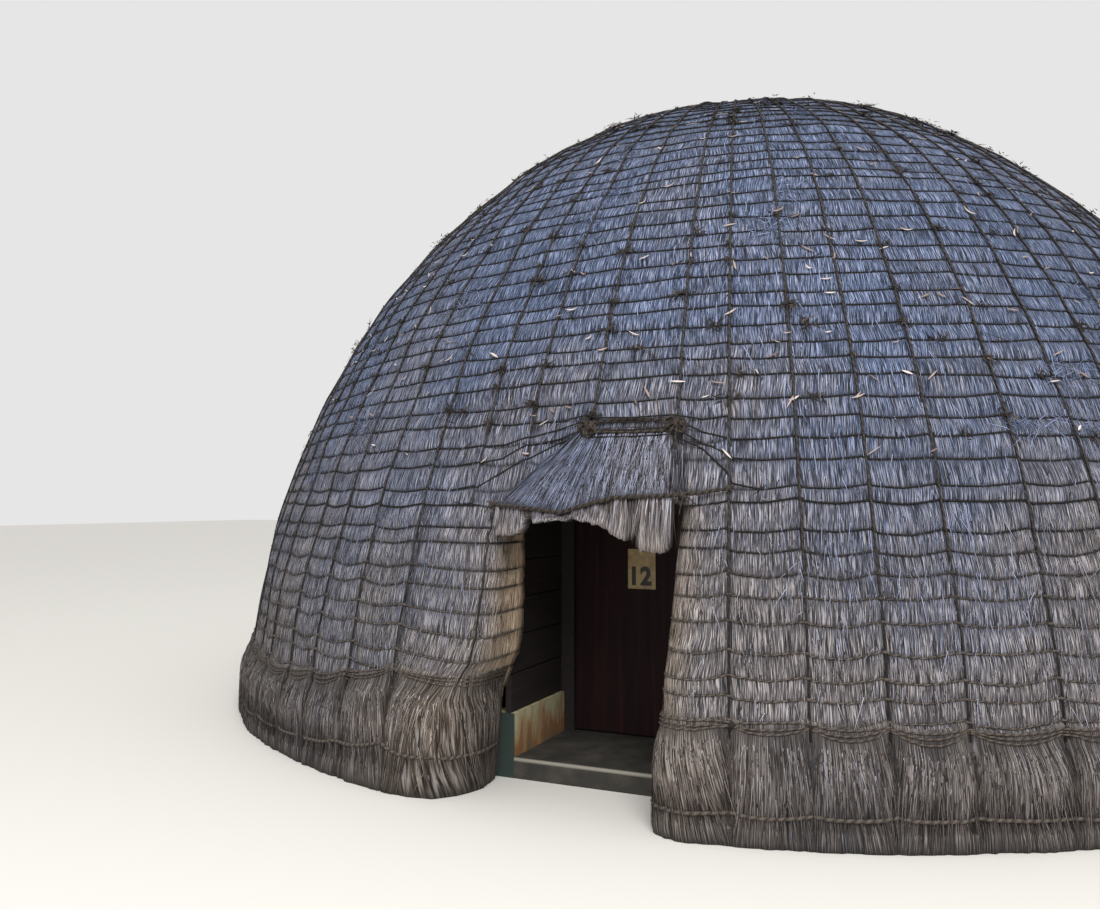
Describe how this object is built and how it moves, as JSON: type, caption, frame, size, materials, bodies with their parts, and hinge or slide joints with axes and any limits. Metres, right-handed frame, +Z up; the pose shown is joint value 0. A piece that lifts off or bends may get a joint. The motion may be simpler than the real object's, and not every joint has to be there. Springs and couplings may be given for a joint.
{
  "type": "thatched beehive hut",
  "caption": "Dome-shaped hut of thatch lashed under a net of ropes, with a low lined doorway and an inward-opening plank door.",
  "frame": {"origin": "on the ground under the top of the dome", "axes": "+Z up, -Y out of the doorway, +X to the right of someone facing the doorway"},
  "size_m": [9.1372, 9.1078, 5.2741],
  "materials": {
    "thatch": "matte",
    "skirt_grass": "matte",
    "rope": "matte",
    "concrete": "matte",
    "plaster": "matte",
    "boards": "satin",
    "door_paint": "satin",
    "poles": "matte",
    "steel": "satin",
    "plate": "satin"
  },
  "bodies": {
    "hut": {"thatch_wall_1": "thatch", "thatch_wall_2": "thatch", "thatch_wall_3": "thatch", "thatch_wall_4": "thatch", "thatch_wall_5": "thatch", "thatch_wall_6": "thatch", "thatch_wall_7": "thatch", "thatch_shoulder_1": "thatch", "thatch_shoulder_2": "thatch", "thatch_shoulder_3": "thatch", "thatch_shoulder_4": "thatch", "thatch_shoulder_5": "thatch", "thatch_shoulder_6": "thatch", "thatch_shoulder_7": "thatch", "thatch_shoulder_8": "thatch", "thatch_crown": "thatch", "thatch_cap": "thatch", "thatch_jamb_left": "thatch", "thatch_jamb_right": "thatch", "door_hood": "thatch", "door_fringe": "thatch", "skirt_left": "skirt_grass", "skirt_right": "skirt_grass", "skirt_back": "skirt_grass", "wall_hoop_ropes": "rope", "shoulder_hoop_ropes": "rope", "crown_hoop_ropes": "rope", "skirt_band": "rope", "foot_rope": "rope", "meridian_ropes": "rope", "door_meridian_ropes": "rope", "crown_ring": "rope", "head_ropes": "rope", "floor_slab": "concrete", "threshold_slab": "concrete", "plinth_left": "plaster", "plinth_right": "plaster", "board_wall_left": "boards", "board_wall_right": "boards", "passage_ceiling": "boards", "door_frame": "boards", "frame_hinges": "steel", "frame_ribs": "poles", "frame_hoops": "poles"},
    "door": {"door_leaf": "door_paint", "door_hinges": "steel", "door_handles": "steel", "number_plate": "plate"}
  },
  "joints": [
    {"name": "door_hinge", "type": "hinge", "parent": "hut", "child": "door", "pos_m": [-0.4475, -3.005, 0], "axis": [0, 0, 1], "range_deg": [0, 95]}
  ]
}
